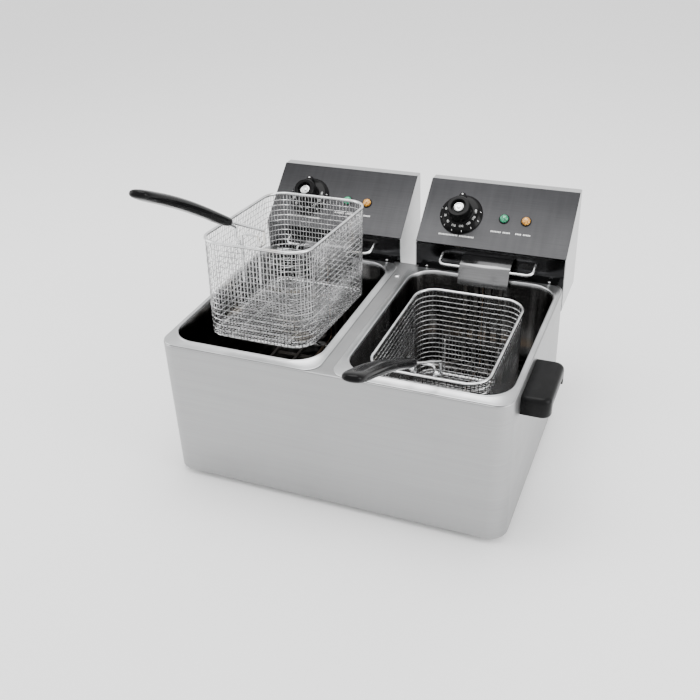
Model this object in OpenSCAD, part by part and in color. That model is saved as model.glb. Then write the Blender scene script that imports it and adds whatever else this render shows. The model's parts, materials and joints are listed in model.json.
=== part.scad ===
// Counter-top electric deep fryer with two oil tanks, two lift-off heads and two wire baskets.
// Millimetres, +Z up, front towards -Y. The origin is on the floor under the middle of the whole
// fryer, handles included. Places below are worked out with the casing centred on X = Y = 0, and
// seat() then moves every piece by the same amount.

/* [Casing] */
// Width of the casing, across both tanks
body_w = 550; // [500:1:670]
// Depth of the casing, front to back
body_d = 380; // [340:1:460]
// Height of the casing's deck above the floor
deck_z = 245.5; // [220:0.5:300]
// Height of the rubber feet
foot_h = 10; // [6:1:25]
// Diameter of the rubber feet
foot_d = 32; // [24:1:44]
// Radius of the casing's upright corners
corner_r = 28; // [18:1:40]
// Thickness of the sheet steel
sheet = 1.2; // [0.8:0.1:2]

/* [Oil tanks] */
// Width of the bridge between the two tank openings
bridge_w = 44; // [40:1:80]
// Width of the deck beside each tank opening
side_land = 9; // [8:1:30]
// Width of the deck in front of each tank opening
front_land = 20; // [16:1:40]
// Width of the deck behind each tank opening
rear_land = 21; // [20:1:40]
// Radius of the tank's upright corners
tank_r = 42; // [25:1:60]
// Depth of the tank below the deck
tank_depth = 186; // [170:1:200]
// Width of the tank's hanging flange at the outer side
flange_side = 7.5; // [5:0.5:8]
// Width of the tank's hanging flange at the front
flange_front = 18; // [8:1:20]
// Width of the tank's hanging flange towards the bridge
flange_inner = 12; // [6:1:18]
// Width of the tank's hanging flange at the back
flange_rear = 11; // [5:1:12]
// Height of the bead round the tank's mouth
bead_h = 1.5; // [0.5:0.1:2]

/* [Heads] */
// Gap between the two heads
head_gap = 28; // [16:1:60]
// How far each head stays inside the casing's side
head_inset = 3; // [0:1:20]
// Gap between the casing's back and the heads
head_stand_off = 4; // [3:0.5:10]
// Depth of a head behind the casing
head_d = 111; // [110:1:150]
// How far a head hangs below the deck
head_drop = 53.5; // [40:0.5:80]
// Height of the control panel's lower edge above the deck
panel_foot = 42.5; // [40:0.5:60]
// Height gained by the sloping panel
panel_rise = 80; // [76:1:95]
// Depth covered by the sloping panel
panel_run = 95; // [90:1:100]
// Thickness of the control panel
panel_t = 1.5; // [1:0.1:3]

/* [Controls] */
// Diameter of the dial's skirt
dial_d = 74; // [50:1:80]
// Height of the dial's skirt
dial_skirt_h = 8; // [4:1:12]
// Diameter of the dial's grip at its foot
dial_grip_d = 41; // [30:1:44]
// Height of the dial above the panel
dial_h = 33; // [22:1:38]
// Place of the dial across the head, from its middle
dial_x = -61.5; // [-66:0.5:-50]
// Place of the dial up the slope
dial_s = 59; // [50:1:64]
// Diameter of the dial's spindle
spindle_d = 6; // [5:0.1:8]
// Diameter of an indicator lens
lens_d = 15; // [9:0.5:18]
// Place of the green lens across the head, from its middle
green_x = 13; // [0:0.5:24]
// Place of the amber lens across the head, from its middle
amber_x = 50.5; // [44:0.5:80]
// Place of the lenses up the slope
lens_s = 60; // [50:1:80]
// Diameter of the reset button
reset_d = 6; // [5:0.5:10]
// Travel of the reset button
reset_travel = 3; // [1:0.5:4]

/* [Element and hanger] */
// Diameter of the element's tube
element_d = 6.5; // [5.5:0.1:7]
// Height of the element's tube above the tank's floor
element_lift = 21; // [14:1:30]
// Distance of the outer riser tubes from the head's middle
riser_x = 30; // [26:1:32]
// Height of the hanger's front wire above the deck
hanger_z = 17.5; // [17:0.5:30]
// Width of the hanger loop
hanger_w = 160; // [130:1:200]
// Diameter of the hanger wire
hanger_d = 5; // [4:0.1:6]
// Width of the element's guard plate
guard_w = 86; // [80:1:90]

/* [Baskets] */
// Width of a basket over the middle of its rim wire
basket_w = 178; // [150:1:190]
// Length of a basket over the middle of its rim wire
basket_l = 258; // [210:1:262]
// Height of a basket from the middle of its rim to its underside
basket_h = 160; // [120:1:170]
// Radius of a basket's upright corners
basket_r = 34; // [20:1:45]
// Diameter of the rim wire
rim_d = 5; // [4:0.5:6]
// Diameter of the smaller wires
wire_d = 4; // [3:0.1:4.8]
// Thickness of the woven wall
mesh_t = 1.6; // [1:0.1:2.5]
// Drop from the rim to the two hanging hooks
hook_drop = 97; // [70:1:110]
// Length of a hanging hook behind the basket
hook_l = 31; // [28:1:34]
// Backward tilt of the hung basket, in degrees
hang_tilt = 4.5; // [0:0.5:8]

/* [Basket handles] */
// Distance between the two prongs at the rim
prong_gap = 47; // [46:1:70]
// Height of the prongs' bend above their pivot
prong_rise = 22; // [18:1:30]
// Reach of the prongs from the rim to the grip
prong_reach = 63; // [40:1:90]
// Length of the grip
grip_l = 219; // [120:1:240]
// Width of the grip
grip_w = 28; // [20:1:36]
// Thickness of the grip
grip_t = 14; // [10:1:20]
// Rise of the handle, in degrees
grip_slope = 26.5; // [10:0.5:40]

/* [Side handle] */
// Length of the side handle
carry_l = 112; // [90:1:150]
// How far the side handle stands out
carry_w = 42; // [34:1:50]
// Height of the side handle
carry_h = 29; // [24:1:40]
// Top of the side handle below the deck
carry_drop = 16.5; // [8:0.5:60]
// Place of the side handle from the casing's middle, less than 0 towards the front
carry_y = -76; // [-100:1:60]

/* [Hidden] */
$fn = 48;
LEFT = -1;
RIGHT = 1;
fit = 0.3;          // gap between pieces that lift apart
run_fit = 0.08;     // gap round a turning or sliding pin
slack = 0.6;        // gap round a loose piece in a sheet-metal hole
bend_into = 0.3;    // how far a wire's bend runs on inside its straight pieces
bend_thin = 0.06;   // how much thinner a wire is in its bends

// Casing and tank places
tank_w = (body_w - bridge_w) / 2 - side_land;
tank_l = body_d - front_land - rear_land;
tank_x = bridge_w / 2 + tank_w / 2;
tank_y = (front_land - rear_land) / 2;
tank_rear_y = tank_y + tank_l / 2;
flange_z = deck_z + fit;
tank_floor_z = flange_z - tank_depth + sheet;
foot_inset = foot_d / 2 + 24;
foot_screw_d = 5;
screw_head_d = 9;
pin_d = 5;
pin_h = 3.5;
vent_pitch = 34;
bridge_screw_in = 34;   // from the tank's rear wall to the screw on the bridge

// Side handle
carry_screw_d = 5;
carry_end = 7;
carry_skin = 5;
carry_round = 14;
carry_z = deck_z - carry_drop - carry_h;
carry_screw_y = [carry_y - carry_l / 2 + 22, carry_y + carry_l / 2 - 22];
carry_screw_z = carry_z + carry_h / 2;
strap_t = 3;

// Head places
head_w = (body_w - head_gap) / 2 - head_inset;
head_x = head_gap / 2 + head_w / 2;
head_y = body_d / 2 + head_stand_off;
head_rear_y = head_y + head_d;
head_foot_z = deck_z - head_drop;
panel_z = deck_z + panel_foot;
head_top_z = panel_z + panel_rise;
panel_slope = atan2(panel_rise, panel_run);
panel_l = norm([panel_rise, panel_run]);
foot_lip = head_y - (tank_rear_y + flange_rear) - 1;
foot_lip_w = head_w - 18;
pin_y = head_y - foot_lip / 2 - 1;
pin_x = foot_lip_w / 2 - 14;

// Hanger, guard and element places
hang_y = tank_rear_y - 0.5;
hang_z = deck_z + hanger_z;
hang_rise = (head_y - hang_y) / 3;
riser_y = tank_rear_y - element_d / 2 - 1.45;
over_z = hang_z - hanger_d / 2 - element_d / 2 - 0.75;
element_z = tank_floor_z + element_lift;
element_bend = 10;
coil_half_w = min(78, tank_w / 2 - 26);
coil_front = tank_y - tank_l / 2 + 52;
coil_rear = riser_y - 44;
inner_riser_x = 11;
inner_half_w = 34;
inner_short = 34;       // how much shorter the inner hairpin is
plate_w = 100;
plate_t = 3;
strap_w = 9;
guard_t = 1.2;
guard_drop = [-13.5, -26];
hanger_bend = 11;
bulb_d = 6;
bulb_l = 80;
capillary_d = 1.8;

// Rear cover, gland and reset
cover_w = head_w - 2 * sheet;
cover_z0 = head_foot_z + sheet;
cover_z1 = head_top_z - sheet;
cover_h = cover_z1 - cover_z0;
gland_x = 95;
gland_z = head_foot_z + 24;
gland_d = 16;
gland_bore = 9;
gland_out = 18;
reset_x = -90;
reset_z = head_foot_z + 33;
reset_out = reset_travel + 4;
cover_screw_d = 4;
spindle_in = 20;
insert_d = 17;
insert_t = 3;
recess_d = 25;       // the hollow in the grip's end that the insert sits in
recess_h = 7;
nose_r = 31;         // the pointer on the grip, from the dial's middle
nose_h = 25;

// Basket places: a basket's own origin is the middle of its rim
mesh_z1 = -rim_d / 2;
floor_wire_z = -basket_h + rim_d / 2;
mesh_z0 = floor_wire_z + rim_d / 2;
hook_x = guard_w / 2 + wire_d / 2 + 2;
upright_y = basket_l / 2 + mesh_t / 2 + wire_d / 2;
hook_bend = wire_d; // tight, so that the bends stay out of the basket's lower edge
hook_seat = 0.7;    // share of a hook's length at which it sits on the hanger wire
bracket_y = -basket_l / 2 + rim_d / 2 + wire_d / 2 - 0.4;
bracket_x = prong_gap / 2 - 9.5;
bracket_top = 19;
bracket_low = -58;
pivot_z = 6;
prong_bend = 4.2;
eye_from = bracket_x + wire_d / 2 + 0.5;        // the eyes' bores start clear of the bracket
eye_to = prong_gap / 2 - prong_bend - 0.1;      // and end where the prongs begin to bend
low_shift = -4;     // the lowered basket stands a little towards the bridge
low_x = tank_x + low_shift;
low_y = tank_y - 19.5;
low_rim_z = element_z + element_d / 2 + fit + basket_h;
hung_x = -head_x - 1;
seat_local = [0, upright_y + hook_l * hook_seat, -hook_drop];
seat_turned = turn_x(seat_local, -hang_tilt);
hung_y = hang_y - seat_turned.y;
hung_rim_z = hang_z + hanger_d / 2 + fit + wire_d / 2 - seat_turned.z;

// Basket handle places, measured from the middle of the rim
bend_pt = [0, bracket_y, pivot_z + prong_rise];
grip_dir = [0, -cos(grip_slope), sin(grip_slope)];
grip_near = bend_pt + prong_reach / cos(grip_slope) * grip_dir;
prong_half = 7;
prong_in = 26;

// The frame: the middle of everything, from the casing's left side to the side handle, and from
// the lowered basket's grip to the cord glands
front_y = low_y + (grip_near + grip_l * grip_dir).y - 0.2;
rear_y = head_rear_y + gland_out;
frame_y = -(front_y + rear_y) / 2;
frame_x = -carry_w / 2;

// ---- Helpers -------------------------------------------------------------------------------

function unit(v) = v / norm(v);
function turn_x(p, a) = [p.x, p.y * cos(a) - p.z * sin(a), p.y * sin(a) + p.z * cos(a)];
function turn_at(a, b, c) = acos(min(1, max(-1, unit(b - a) * unit(c - b))));
function trim_at(a, b, c, r) = r * tan(turn_at(a, b, c) / 2);

// Moves a piece from the casing's own places to the part's frame
module seat() translate([frame_x, frame_y, 0]) children();

// A flat rounded rectangle, centred
module rounded(w, l, r) {
  square([w - 2 * r, l], center = true);
  square([w, l - 2 * r], center = true);
  for (x = [-1, 1], y = [-1, 1]) translate([x * (w / 2 - r), y * (l / 2 - r)]) circle(r);
}

// A straight piece of wire
module rod(a, b, d) {
  v = b - a;
  translate(a) rotate([0, acos(v.z / norm(v)), atan2(v.y, v.x)]) cylinder(h = norm(v), d = d);
}

// The bend of a wire at corner b, on its way from a to c. It runs on a little way inside the
// straight pieces at its ends and is a hair thinner, so that the three join into one solid.
module bend(a, b, c, d, r) {
  u = unit(b - a);
  w = unit(c - b);
  n = unit(cross(u, w));
  turn = turn_at(a, b, c);
  into = bend_into / r * 180 / PI;
  x = cross(u, n);
  o = b - trim_at(a, b, c, r) * u - r * x;
  multmatrix([[x.x, u.x, n.x, o.x], [x.y, u.y, n.y, o.y], [x.z, u.z, n.z, o.z], [0, 0, 0, 1]])
    rotate([0, 0, -into]) rotate_extrude(angle = turn + 2 * into) translate([r, 0])
      circle(d = d - bend_thin);
}

// A wire along a list of corners, each rounded to radius r, open or closed into a ring
module wire(pts, d, r, ring = false) {
  n = len(pts);
  last = ring ? n - 1 : n - 2;
  for (i = [0 : last]) {
    a = pts[i];
    b = pts[(i + 1) % n];
    before = pts[(i + n - 1) % n];
    after = pts[(i + 2) % n];
    u = unit(b - a);
    cut_a = ring || i > 0 ? trim_at(before, a, b, r) : 0;
    cut_b = ring || i < n - 2 ? trim_at(a, b, after, r) : 0;
    rod(a + cut_a * u, b - cut_b * u, d);
    if (ring || i < n - 2) bend(a, b, after, d, r);
  }
}

// Corners of a rectangle at height z
function corners(w, l, z) =
  [[-w / 2, -l / 2, z], [w / 2, -l / 2, z], [w / 2, l / 2, z], [-w / 2, l / 2, z]];

// A place on a head's sloping panel: s up the slope, h out from its face
module on_panel(side, x, s, h = 0)
  seat() translate([side * head_x + x, head_y, panel_z]) rotate([panel_slope, 0, 0])
    translate([0, s, h]) children();

module at_head(side) seat() translate([side * head_x, 0, 0]) children();

// Stands a flat outline drawn as (y, z) up on its side, width w along X, centred
module across(w) translate([-w / 2, 0, 0]) rotate([90, 0, 90]) linear_extrude(w) children();

// A basket's own frame: hung up on the left, lowered on the right
module at_basket(side)
  seat() if (side == LEFT)
    translate([hung_x, hung_y, hung_rim_z]) rotate([-hang_tilt, 0, 0]) children();
  else
    translate([low_x, low_y, low_rim_z]) children();

// ---- Casing --------------------------------------------------------------------------------

module tank_hole(grow)
  for (s = [LEFT, RIGHT]) translate([s * tank_x, tank_y])
    rounded(tank_w + 2 * grow, tank_l + 2 * grow, tank_r + grow);

module outer_casing() color("#b9bbbd") seat() difference() {
  translate([0, 0, foot_h]) linear_extrude(deck_z - foot_h) rounded(body_w, body_d, corner_r);
  translate([0, 0, foot_h - 1]) linear_extrude(deck_z - foot_h - sheet + 1)
    rounded(body_w - 2 * sheet, body_d - 2 * sheet, corner_r - sheet);
  translate([0, 0, deck_z - 2 * sheet]) linear_extrude(4 * sheet) tank_hole(sheet + slack);
  for (y = carry_screw_y) translate([body_w / 2, y, carry_screw_z])
    rotate([0, 90, 0]) cylinder(h = 4 * sheet, d = carry_screw_d + 0.5, center = true);
}

module base_plate() color("#8f9295") seat() difference() {
  translate([0, 0, foot_h]) linear_extrude(14)
    rounded(body_w - 2 * sheet, body_d - 2 * sheet, corner_r - sheet);
  translate([0, 0, foot_h + sheet]) linear_extrude(14)
    rounded(body_w - 4 * sheet, body_d - 4 * sheet, corner_r - 2 * sheet);
  at_feet() translate([0, 0, foot_h - 1]) cylinder(h = 4, d = foot_screw_d + 0.4);
  for (x = [-5 : 5], y = [-1, 1]) translate([x * vent_pitch, y * 45, foot_h - 1])
    linear_extrude(4) rounded(6, 60, 2.9);
}

module at_feet()
  for (x = [-1, 1], y = [-1, 1])
    translate([x * (body_w / 2 - foot_inset), y * (body_d / 2 - foot_inset), 0]) children();

module rubber_feet() color("#1b1b1c") seat() at_feet() rotate_extrude() polygon([
  [foot_screw_d / 2 + 0.2, foot_h], [foot_screw_d / 2 + 0.2, 5], [5.5, 5], [5.5, 0],
  [foot_d / 2 - 3, 0], [foot_d / 2 - 1.5, 1.2], [foot_d / 2, foot_h]
]);

module foot_screws() color("#c8cacc") seat() at_feet() {
  translate([0, 0, 2]) cylinder(h = 3, d = screw_head_d);
  translate([0, 0, 5]) cylinder(h = foot_h + 4, d = foot_screw_d);
  translate([0, 0, foot_h + sheet]) cylinder(h = 4, d = screw_head_d, $fn = 6);
}

// Side handle: a hood to lift by, over a steel strap that is screwed through the casing
module at_carry() seat() translate([body_w / 2, carry_y, carry_z]) children();

module side_handle() color("#161617") at_carry() difference() {
  intersection() {
    linear_extrude(carry_h) {
      translate([0, -carry_l / 2]) square([carry_w - carry_round, carry_l]);
      translate([0, carry_round - carry_l / 2]) square([carry_w, carry_l - 2 * carry_round]);
      for (y = [-1, 1]) translate([carry_w - carry_round, y * (carry_l / 2 - carry_round)])
        circle(carry_round);
    }
    rotate([90, 0, 0]) linear_extrude(carry_l + 2, center = true) {
      square([carry_w - 8, carry_h]);
      square([carry_w, carry_h - 8]);
      translate([carry_w - 8, carry_h - 8]) circle(8);
    }
  }
  translate([-1, -carry_l / 2 + carry_end, -1])
    cube([carry_w - carry_skin + 1, carry_l - 2 * carry_end, carry_h - carry_skin + 1]);
  translate([carry_w - carry_skin - 1, -carry_l / 2 + 18, -1])
    cube([carry_skin + 2, carry_l - 36, 13]);
}

module handle_strap() color("#c8cacc") at_carry() difference() {
  union() {
    translate([0, -carry_l / 2 + carry_end, 3])
      cube([strap_t, carry_l - 2 * carry_end, carry_h - carry_skin - 3]);
    for (s = [-1, 1]) translate([0, s * (carry_l / 2 - carry_end - strap_t / 2), 0])
      rotate([90, 0, 0]) linear_extrude(strap_t, center = true) {
        translate([0, -4]) square([carry_w - carry_skin - 8, carry_h - carry_skin + 4]);
        translate([0, 4]) square([carry_w - carry_skin, carry_h - carry_skin - 4]);
        translate([carry_w - carry_skin - 8, 4]) circle(8);
      }
  }
  for (y = carry_screw_y) translate([-1, y - carry_y, carry_h / 2]) rotate([0, 90, 0])
    cylinder(h = strap_t + 2, d = carry_screw_d + 0.3);
}

module handle_screws() color("#d2d4d6") for (y = carry_screw_y)
  at_carry() translate([0, y - carry_y, carry_h / 2]) rotate([0, 90, 0]) {
    translate([0, 0, -sheet - 3]) cylinder(h = 3, d = screw_head_d);
    translate([0, 0, -sheet]) cylinder(h = sheet + strap_t + 5, d = carry_screw_d);
    translate([0, 0, strap_t]) cylinder(h = 4, d = screw_head_d, $fn = 6);
  }

module at_pins() for (s = [LEFT, RIGHT], x = [-1, 1])
  translate([s * head_x + x * pin_x, pin_y, deck_z]) children();

module locating_pins() color("#d2d4d6") seat() at_pins() {
  cylinder(h = pin_h - 1, d = pin_d);
  translate([0, 0, pin_h - 1]) cylinder(h = 1, d1 = pin_d, d2 = pin_d - 2);
}

module bridge_screw() color("#dfe1e3") seat() translate([0, tank_rear_y - bridge_screw_in, deck_z])
  rotate_extrude() intersection() {
    translate([0, -6.5]) circle(9);
    square([4.5, 3]);
  }

// ---- Tank ----------------------------------------------------------------------------------

module flange_outline(side) {
  x0 = -tank_w / 2 - (side == RIGHT ? flange_inner : flange_side);
  x1 = tank_w / 2 + (side == RIGHT ? flange_side : flange_inner);
  y0 = -tank_l / 2 - flange_front;
  y1 = tank_l / 2 + flange_rear;
  translate([(x0 + x1) / 2, (y0 + y1) / 2]) rounded(x1 - x0, y1 - y0, corner_r - 4);
}

module oil_tank(side) color("#6f7276") seat() translate([side * tank_x, tank_y, 0])
  difference() {
    union() {
      translate([0, 0, flange_z]) linear_extrude(sheet) flange_outline(side);
      translate([0, 0, flange_z]) linear_extrude(sheet + bead_h)
        rounded(tank_w + 6, tank_l + 6, tank_r + 3);
      translate([0, 0, tank_floor_z - sheet]) linear_extrude(tank_depth)
        rounded(tank_w + 2 * sheet, tank_l + 2 * sheet, tank_r + sheet);
    }
    translate([0, 0, tank_floor_z]) linear_extrude(tank_depth + 10)
      rounded(tank_w, tank_l, tank_r);
  }

// ---- Head ----------------------------------------------------------------------------------

module head_casing(side) color("#bfc1c3") at_head(side) difference() {
  across(head_w) polygon([
    [head_y, head_foot_z], [head_y, panel_z - panel_t / cos(panel_slope)],
    [head_y + panel_run + panel_t * sin(panel_slope), head_top_z - panel_t * cos(panel_slope)],
    [head_y + panel_run, head_top_z], [head_rear_y, head_top_z], [head_rear_y, head_foot_z]
  ]);
  across(head_w - 2 * sheet) polygon([
    [head_y - 1, head_foot_z + sheet], [head_y - 1, panel_z],
    [head_y + panel_run - sheet, head_top_z + 2], [head_y + panel_run, head_top_z - sheet],
    [head_rear_y + 1, head_top_z - sheet], [head_rear_y + 1, head_foot_z + sheet]
  ]);
}

module control_panel(side) color("#4a4c4f") difference() {
  on_panel(side, 0, panel_l / 2, -panel_t) linear_extrude(panel_t)
    square([head_w, panel_l - 0.4], center = true);
  on_panel(side, dial_x, dial_s, -panel_t - 1) cylinder(h = panel_t + 2, d = spindle_d + 4);
  for (x = [green_x, amber_x]) on_panel(side, x, lens_s, -panel_t - 1)
    cylinder(h = panel_t + 2, d = lens_d - 2);
}

module splash_wall(side) color("#3c3e41") at_head(side) difference() {
  union() {
    translate([-head_w / 2 + sheet, head_y, head_foot_z + sheet])
      cube([head_w - 2 * sheet, sheet, panel_z - panel_t / cos(panel_slope) - head_foot_z - sheet
        - 0.2]);
    translate([-foot_lip_w / 2, head_y - foot_lip, flange_z]) cube([foot_lip_w, foot_lip, sheet]);
  }
  for (x = [-1, 1]) {
    translate([x * pin_x, pin_y, flange_z - 1]) cylinder(h = 4, d = pin_d + 2 * run_fit);
    for (r = [riser_x, inner_riser_x]) translate([x * r, head_y - 1, over_z])
      rotate([-90, 0, 0]) cylinder(h = sheet + 2, d = element_d + 0.3);
  }
  translate([0, head_y - 1, over_z]) rotate([-90, 0, 0]) cylinder(h = sheet + 2, d = 3);
  hanger_wire(hanger_d + 0.2);
}

module rear_cover(side) color("#a9acaf") at_head(side) difference() {
  translate([-cover_w / 2, head_rear_y - sheet, cover_z0]) cube([cover_w, sheet, cover_h]);
  translate([gland_x, head_rear_y, gland_z]) rotate([90, 0, 0])
    cylinder(h = 4 * sheet, d = gland_d + 0.2, center = true);
  translate([reset_x, head_rear_y, reset_z]) rotate([90, 0, 0])
    cylinder(h = 4 * sheet, d = reset_d + 6.2, center = true);
  at_cover_screws() cylinder(h = 4 * sheet, d = cover_screw_d + 0.4, center = true);
  for (i = [-6 : 6]) translate([i * 14, head_rear_y, head_top_z - 48]) rotate([90, 0, 0])
    linear_extrude(4 * sheet, center = true) rounded(5, 44, 2.4);
}

module at_cover_screws() for (x = [-1, 1], z = [cover_z0 + 9, cover_z1 - 9])
  translate([x * (cover_w / 2 - 9), head_rear_y, z]) rotate([-90, 0, 0]) children();

module cover_screws(side) color("#d2d4d6") at_head(side) at_cover_screws() {
  translate([0, 0, -9]) cylinder(h = 9, d = cover_screw_d);
  rotate_extrude() intersection() {
    translate([0, -3.2]) circle(5.4);
    square([4, 3]);
  }
}

// The element: two hairpins brazed into a mounting plate, held level by two straps
module hairpin(x_up, x_down, front)
  wire([
    [-x_up, head_y + 16, over_z], [-x_up, riser_y, over_z], [-x_up, riser_y, element_z],
    [-x_down, coil_rear, element_z], [-x_down, front, element_z], [x_down, front, element_z],
    [x_down, coil_rear, element_z], [x_up, riser_y, element_z], [x_up, riser_y, over_z],
    [x_up, head_y + 16, over_z]
  ], element_d, element_bend);

module heating_element(side) color("#7d7a76") at_head(side) {
  hairpin(riser_x, coil_half_w, coil_front);
  hairpin(inner_riser_x, inner_half_w, coil_front + inner_short);
  difference() {
    translate([-plate_w / 2, head_y + sheet + 0.1, over_z - 11]) cube([plate_w, plate_t, 18]);
    translate([0, head_y, over_z]) rotate([-90, 0, 0]) cylinder(h = 10, d = capillary_d + 0.3);
  }
  for (y = [coil_rear - 34, coil_front + 66])
    translate([-coil_half_w - 6, y, element_z - element_d / 2 - 1])
      cube([2 * coil_half_w + 12, strap_w, 1.5]);
}

// The guard's plate lies on the hanger wire, folds round it and drops in front of the risers
function arc(c, r, from, to, n = 10) =
  [for (i = [0 : n]) c + r * [cos(from + (to - from) * i / n), sin(from + (to - from) * i / n)]];
module element_guard(side) color("#9b9da0") at_head(side) {
  c = [hang_y, hang_z];
  r = hanger_d / 2 + 0.15;
  back = atan2(hang_rise, head_y - hang_y) + 90;
  front = atan2(guard_drop.y, guard_drop.x) - acos(r / norm(guard_drop)) + 360;
  wall = [head_y - 0.1, hang_z + hang_rise] - c;
  out = guard_t * [cos(front), sin(front)];
  across(guard_w) polygon(concat(
    [c + wall + r * [cos(back), sin(back)]], arc(c, r, back, front),
    [c + guard_drop, c + guard_drop + out], arc(c, r + guard_t, front, back),
    [c + wall + (r + guard_t) * [cos(back), sin(back)]]
  ));
}

module hanger_wire(d) wire([
  [-hanger_w / 2, head_y + 8, hang_z + hang_rise * 1.25], [-hanger_w / 2, hang_y, hang_z],
  [hanger_w / 2, hang_y, hang_z], [hanger_w / 2, head_y + 8, hang_z + hang_rise * 1.25]
], d, hanger_bend);

module basket_hanger(side) color("#d9dbdd") at_head(side) hanger_wire(hanger_d);

// Thermostat behind the dial, with its capillary and bulb in the oil
module thermostat(side) color("#d8d5cc") difference() {
  on_panel(side, dial_x, dial_s, -panel_t - spindle_in) {
    translate([-19, -17, 0]) cube([38, 34, spindle_in - 2]);
    cylinder(h = spindle_in, d = spindle_d + 6);
  }
  on_panel(side, dial_x, dial_s, -panel_t - spindle_in - 1)
    cylinder(h = spindle_in + 2, d = spindle_d + 2 * run_fit);
}

module thermostat_bulb(side) color("#b87b4a") at_head(side) {
  z = element_z - element_d / 2 + 0.5 + bulb_d / 2;
  wire([
    [dial_x, head_y + 34, over_z + 14], [0, head_y + 24, over_z], [0, riser_y, over_z],
    [0, riser_y, z], [0, coil_rear + 4, z]
  ], capillary_d, 7);
  translate([0, coil_rear + 4, z]) rotate([90, 0, 0]) cylinder(h = bulb_l, d = bulb_d);
}

module limit_thermostat(side) color("#d8d5cc") at_head(side) difference() {
  union() {
    translate([reset_x - 17, head_rear_y - sheet - 26, reset_z - 15]) cube([34, 24, 30]);
    translate([reset_x, head_rear_y - sheet - 3, reset_z]) rotate([-90, 0, 0])
      cylinder(h = sheet + 6, d = reset_d + 6);
  }
  translate([reset_x, head_rear_y - 20, reset_z]) rotate([-90, 0, 0])
    cylinder(h = 30, d = reset_d + 2 * run_fit);
}

module reset_button(side) color("#b3201c") at_head(side)
  translate([reset_x, head_rear_y - 14, reset_z]) rotate([-90, 0, 0]) {
    cylinder(h = 14 + reset_out - 1, d = reset_d);
    translate([0, 0, 13 + reset_out]) cylinder(h = 1, d1 = reset_d, d2 = reset_d - 2);
  }

module terminal_block(side) color("#e8e4d8") at_head(side)
  translate([20, head_y + 60, head_foot_z + sheet]) difference() {
    cube([58, 22, 20]);
    for (i = [0 : 4]) translate([7 + i * 11, 11, 8]) cylinder(h = 20, d = 5);
  }

module lamp_sockets(side) color("#2a2a2c") for (x = [green_x, amber_x]) on_panel(side, x, lens_s)
  rotate_extrude() polygon([
    [0, -28], [lens_d / 2 - 2, -28], [lens_d / 2 - 2, -panel_t - 3],
    [lens_d / 2 - 1.1, -panel_t - 3], [lens_d / 2 - 1.1, 0], [lens_d / 2 + 1.5, 0],
    [lens_d / 2 + 1.5, 0.6], [lens_d / 2 + 0.7, 1.5], [lens_d / 2, 1.5], [lens_d / 2, 0.8],
    [0, 0.8]
  ]);

module lens(side, x) on_panel(side, x, lens_s, 0.8) rotate_extrude() {
  square([lens_d / 2 - 0.1, 2]);
  translate([0, 2]) intersection() {
    translate([0, -lens_d * 0.35]) circle(lens_d * 0.61);
    square([lens_d / 2 - 0.1, lens_d]);
  }
}

module green_lens(side) color("#35c07a") lens(side, green_x);

module amber_lens(side) color("#e0993a") lens(side, amber_x);

module cord_gland(side) color("#232325") at_head(side)
  translate([gland_x, head_rear_y, gland_z]) rotate([-90, 0, 0]) difference() {
    union() {
      translate([0, 0, -sheet - 5]) cylinder(h = 5, d = gland_d + 6, $fn = 6);
      translate([0, 0, -sheet - 8]) cylinder(h = sheet + 8, d = gland_d);
      cylinder(h = 5, d = gland_d + 6, $fn = 6);
      translate([0, 0, 5]) cylinder(h = 8, d = gland_d + 3);
      translate([0, 0, 13]) cylinder(h = gland_out - 13, d1 = gland_d + 3, d2 = gland_d - 3);
    }
    translate([0, 0, -20]) cylinder(h = 60, d = gland_bore);
  }

// ---- Dial ----------------------------------------------------------------------------------

module dial_knob(side) color("#131314") on_panel(side, dial_x, dial_s) {
  rotate_extrude() polygon([
    [spindle_d / 2, 1], [dial_d / 2 - 1, 1], [dial_d / 2, 2], [dial_d / 2 - 5, dial_skirt_h],
    [dial_grip_d / 2, dial_skirt_h + 1.5], [dial_grip_d / 2 - 1.5, dial_h - 1.5],
    [dial_grip_d / 2 - 3, dial_h], [recess_d / 2, dial_h], [recess_d / 2, dial_h - recess_h],
    [spindle_d / 2, dial_h - recess_h]
  ]);
  translate([0, 0, dial_skirt_h - 0.5]) linear_extrude(nose_h - dial_skirt_h + 0.5) polygon([
    [-8, dial_grip_d / 2 - 5], [8, dial_grip_d / 2 - 5], [4.5, nose_r], [-4.5, nose_r]
  ]);
}

module knob_insert(side) color("#c9cbcd")
  on_panel(side, dial_x, dial_s, dial_h - recess_h) rotate_extrude() polygon([
    [0, 0], [insert_d / 2, 0], [insert_d / 2, insert_t], [insert_d / 2 - 2, insert_t],
    [insert_d / 2 - 3, insert_t - 1], [3.5, insert_t - 1], [2.5, insert_t - 0.4],
    [0, insert_t - 0.4]
  ]);

module knob_spindle(side) color("#b5b7b9") on_panel(side, dial_x, dial_s, -panel_t - spindle_in)
  cylinder(h = panel_t + spindle_in + dial_h - recess_h, d = spindle_d);

// ---- Basket --------------------------------------------------------------------------------

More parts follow.
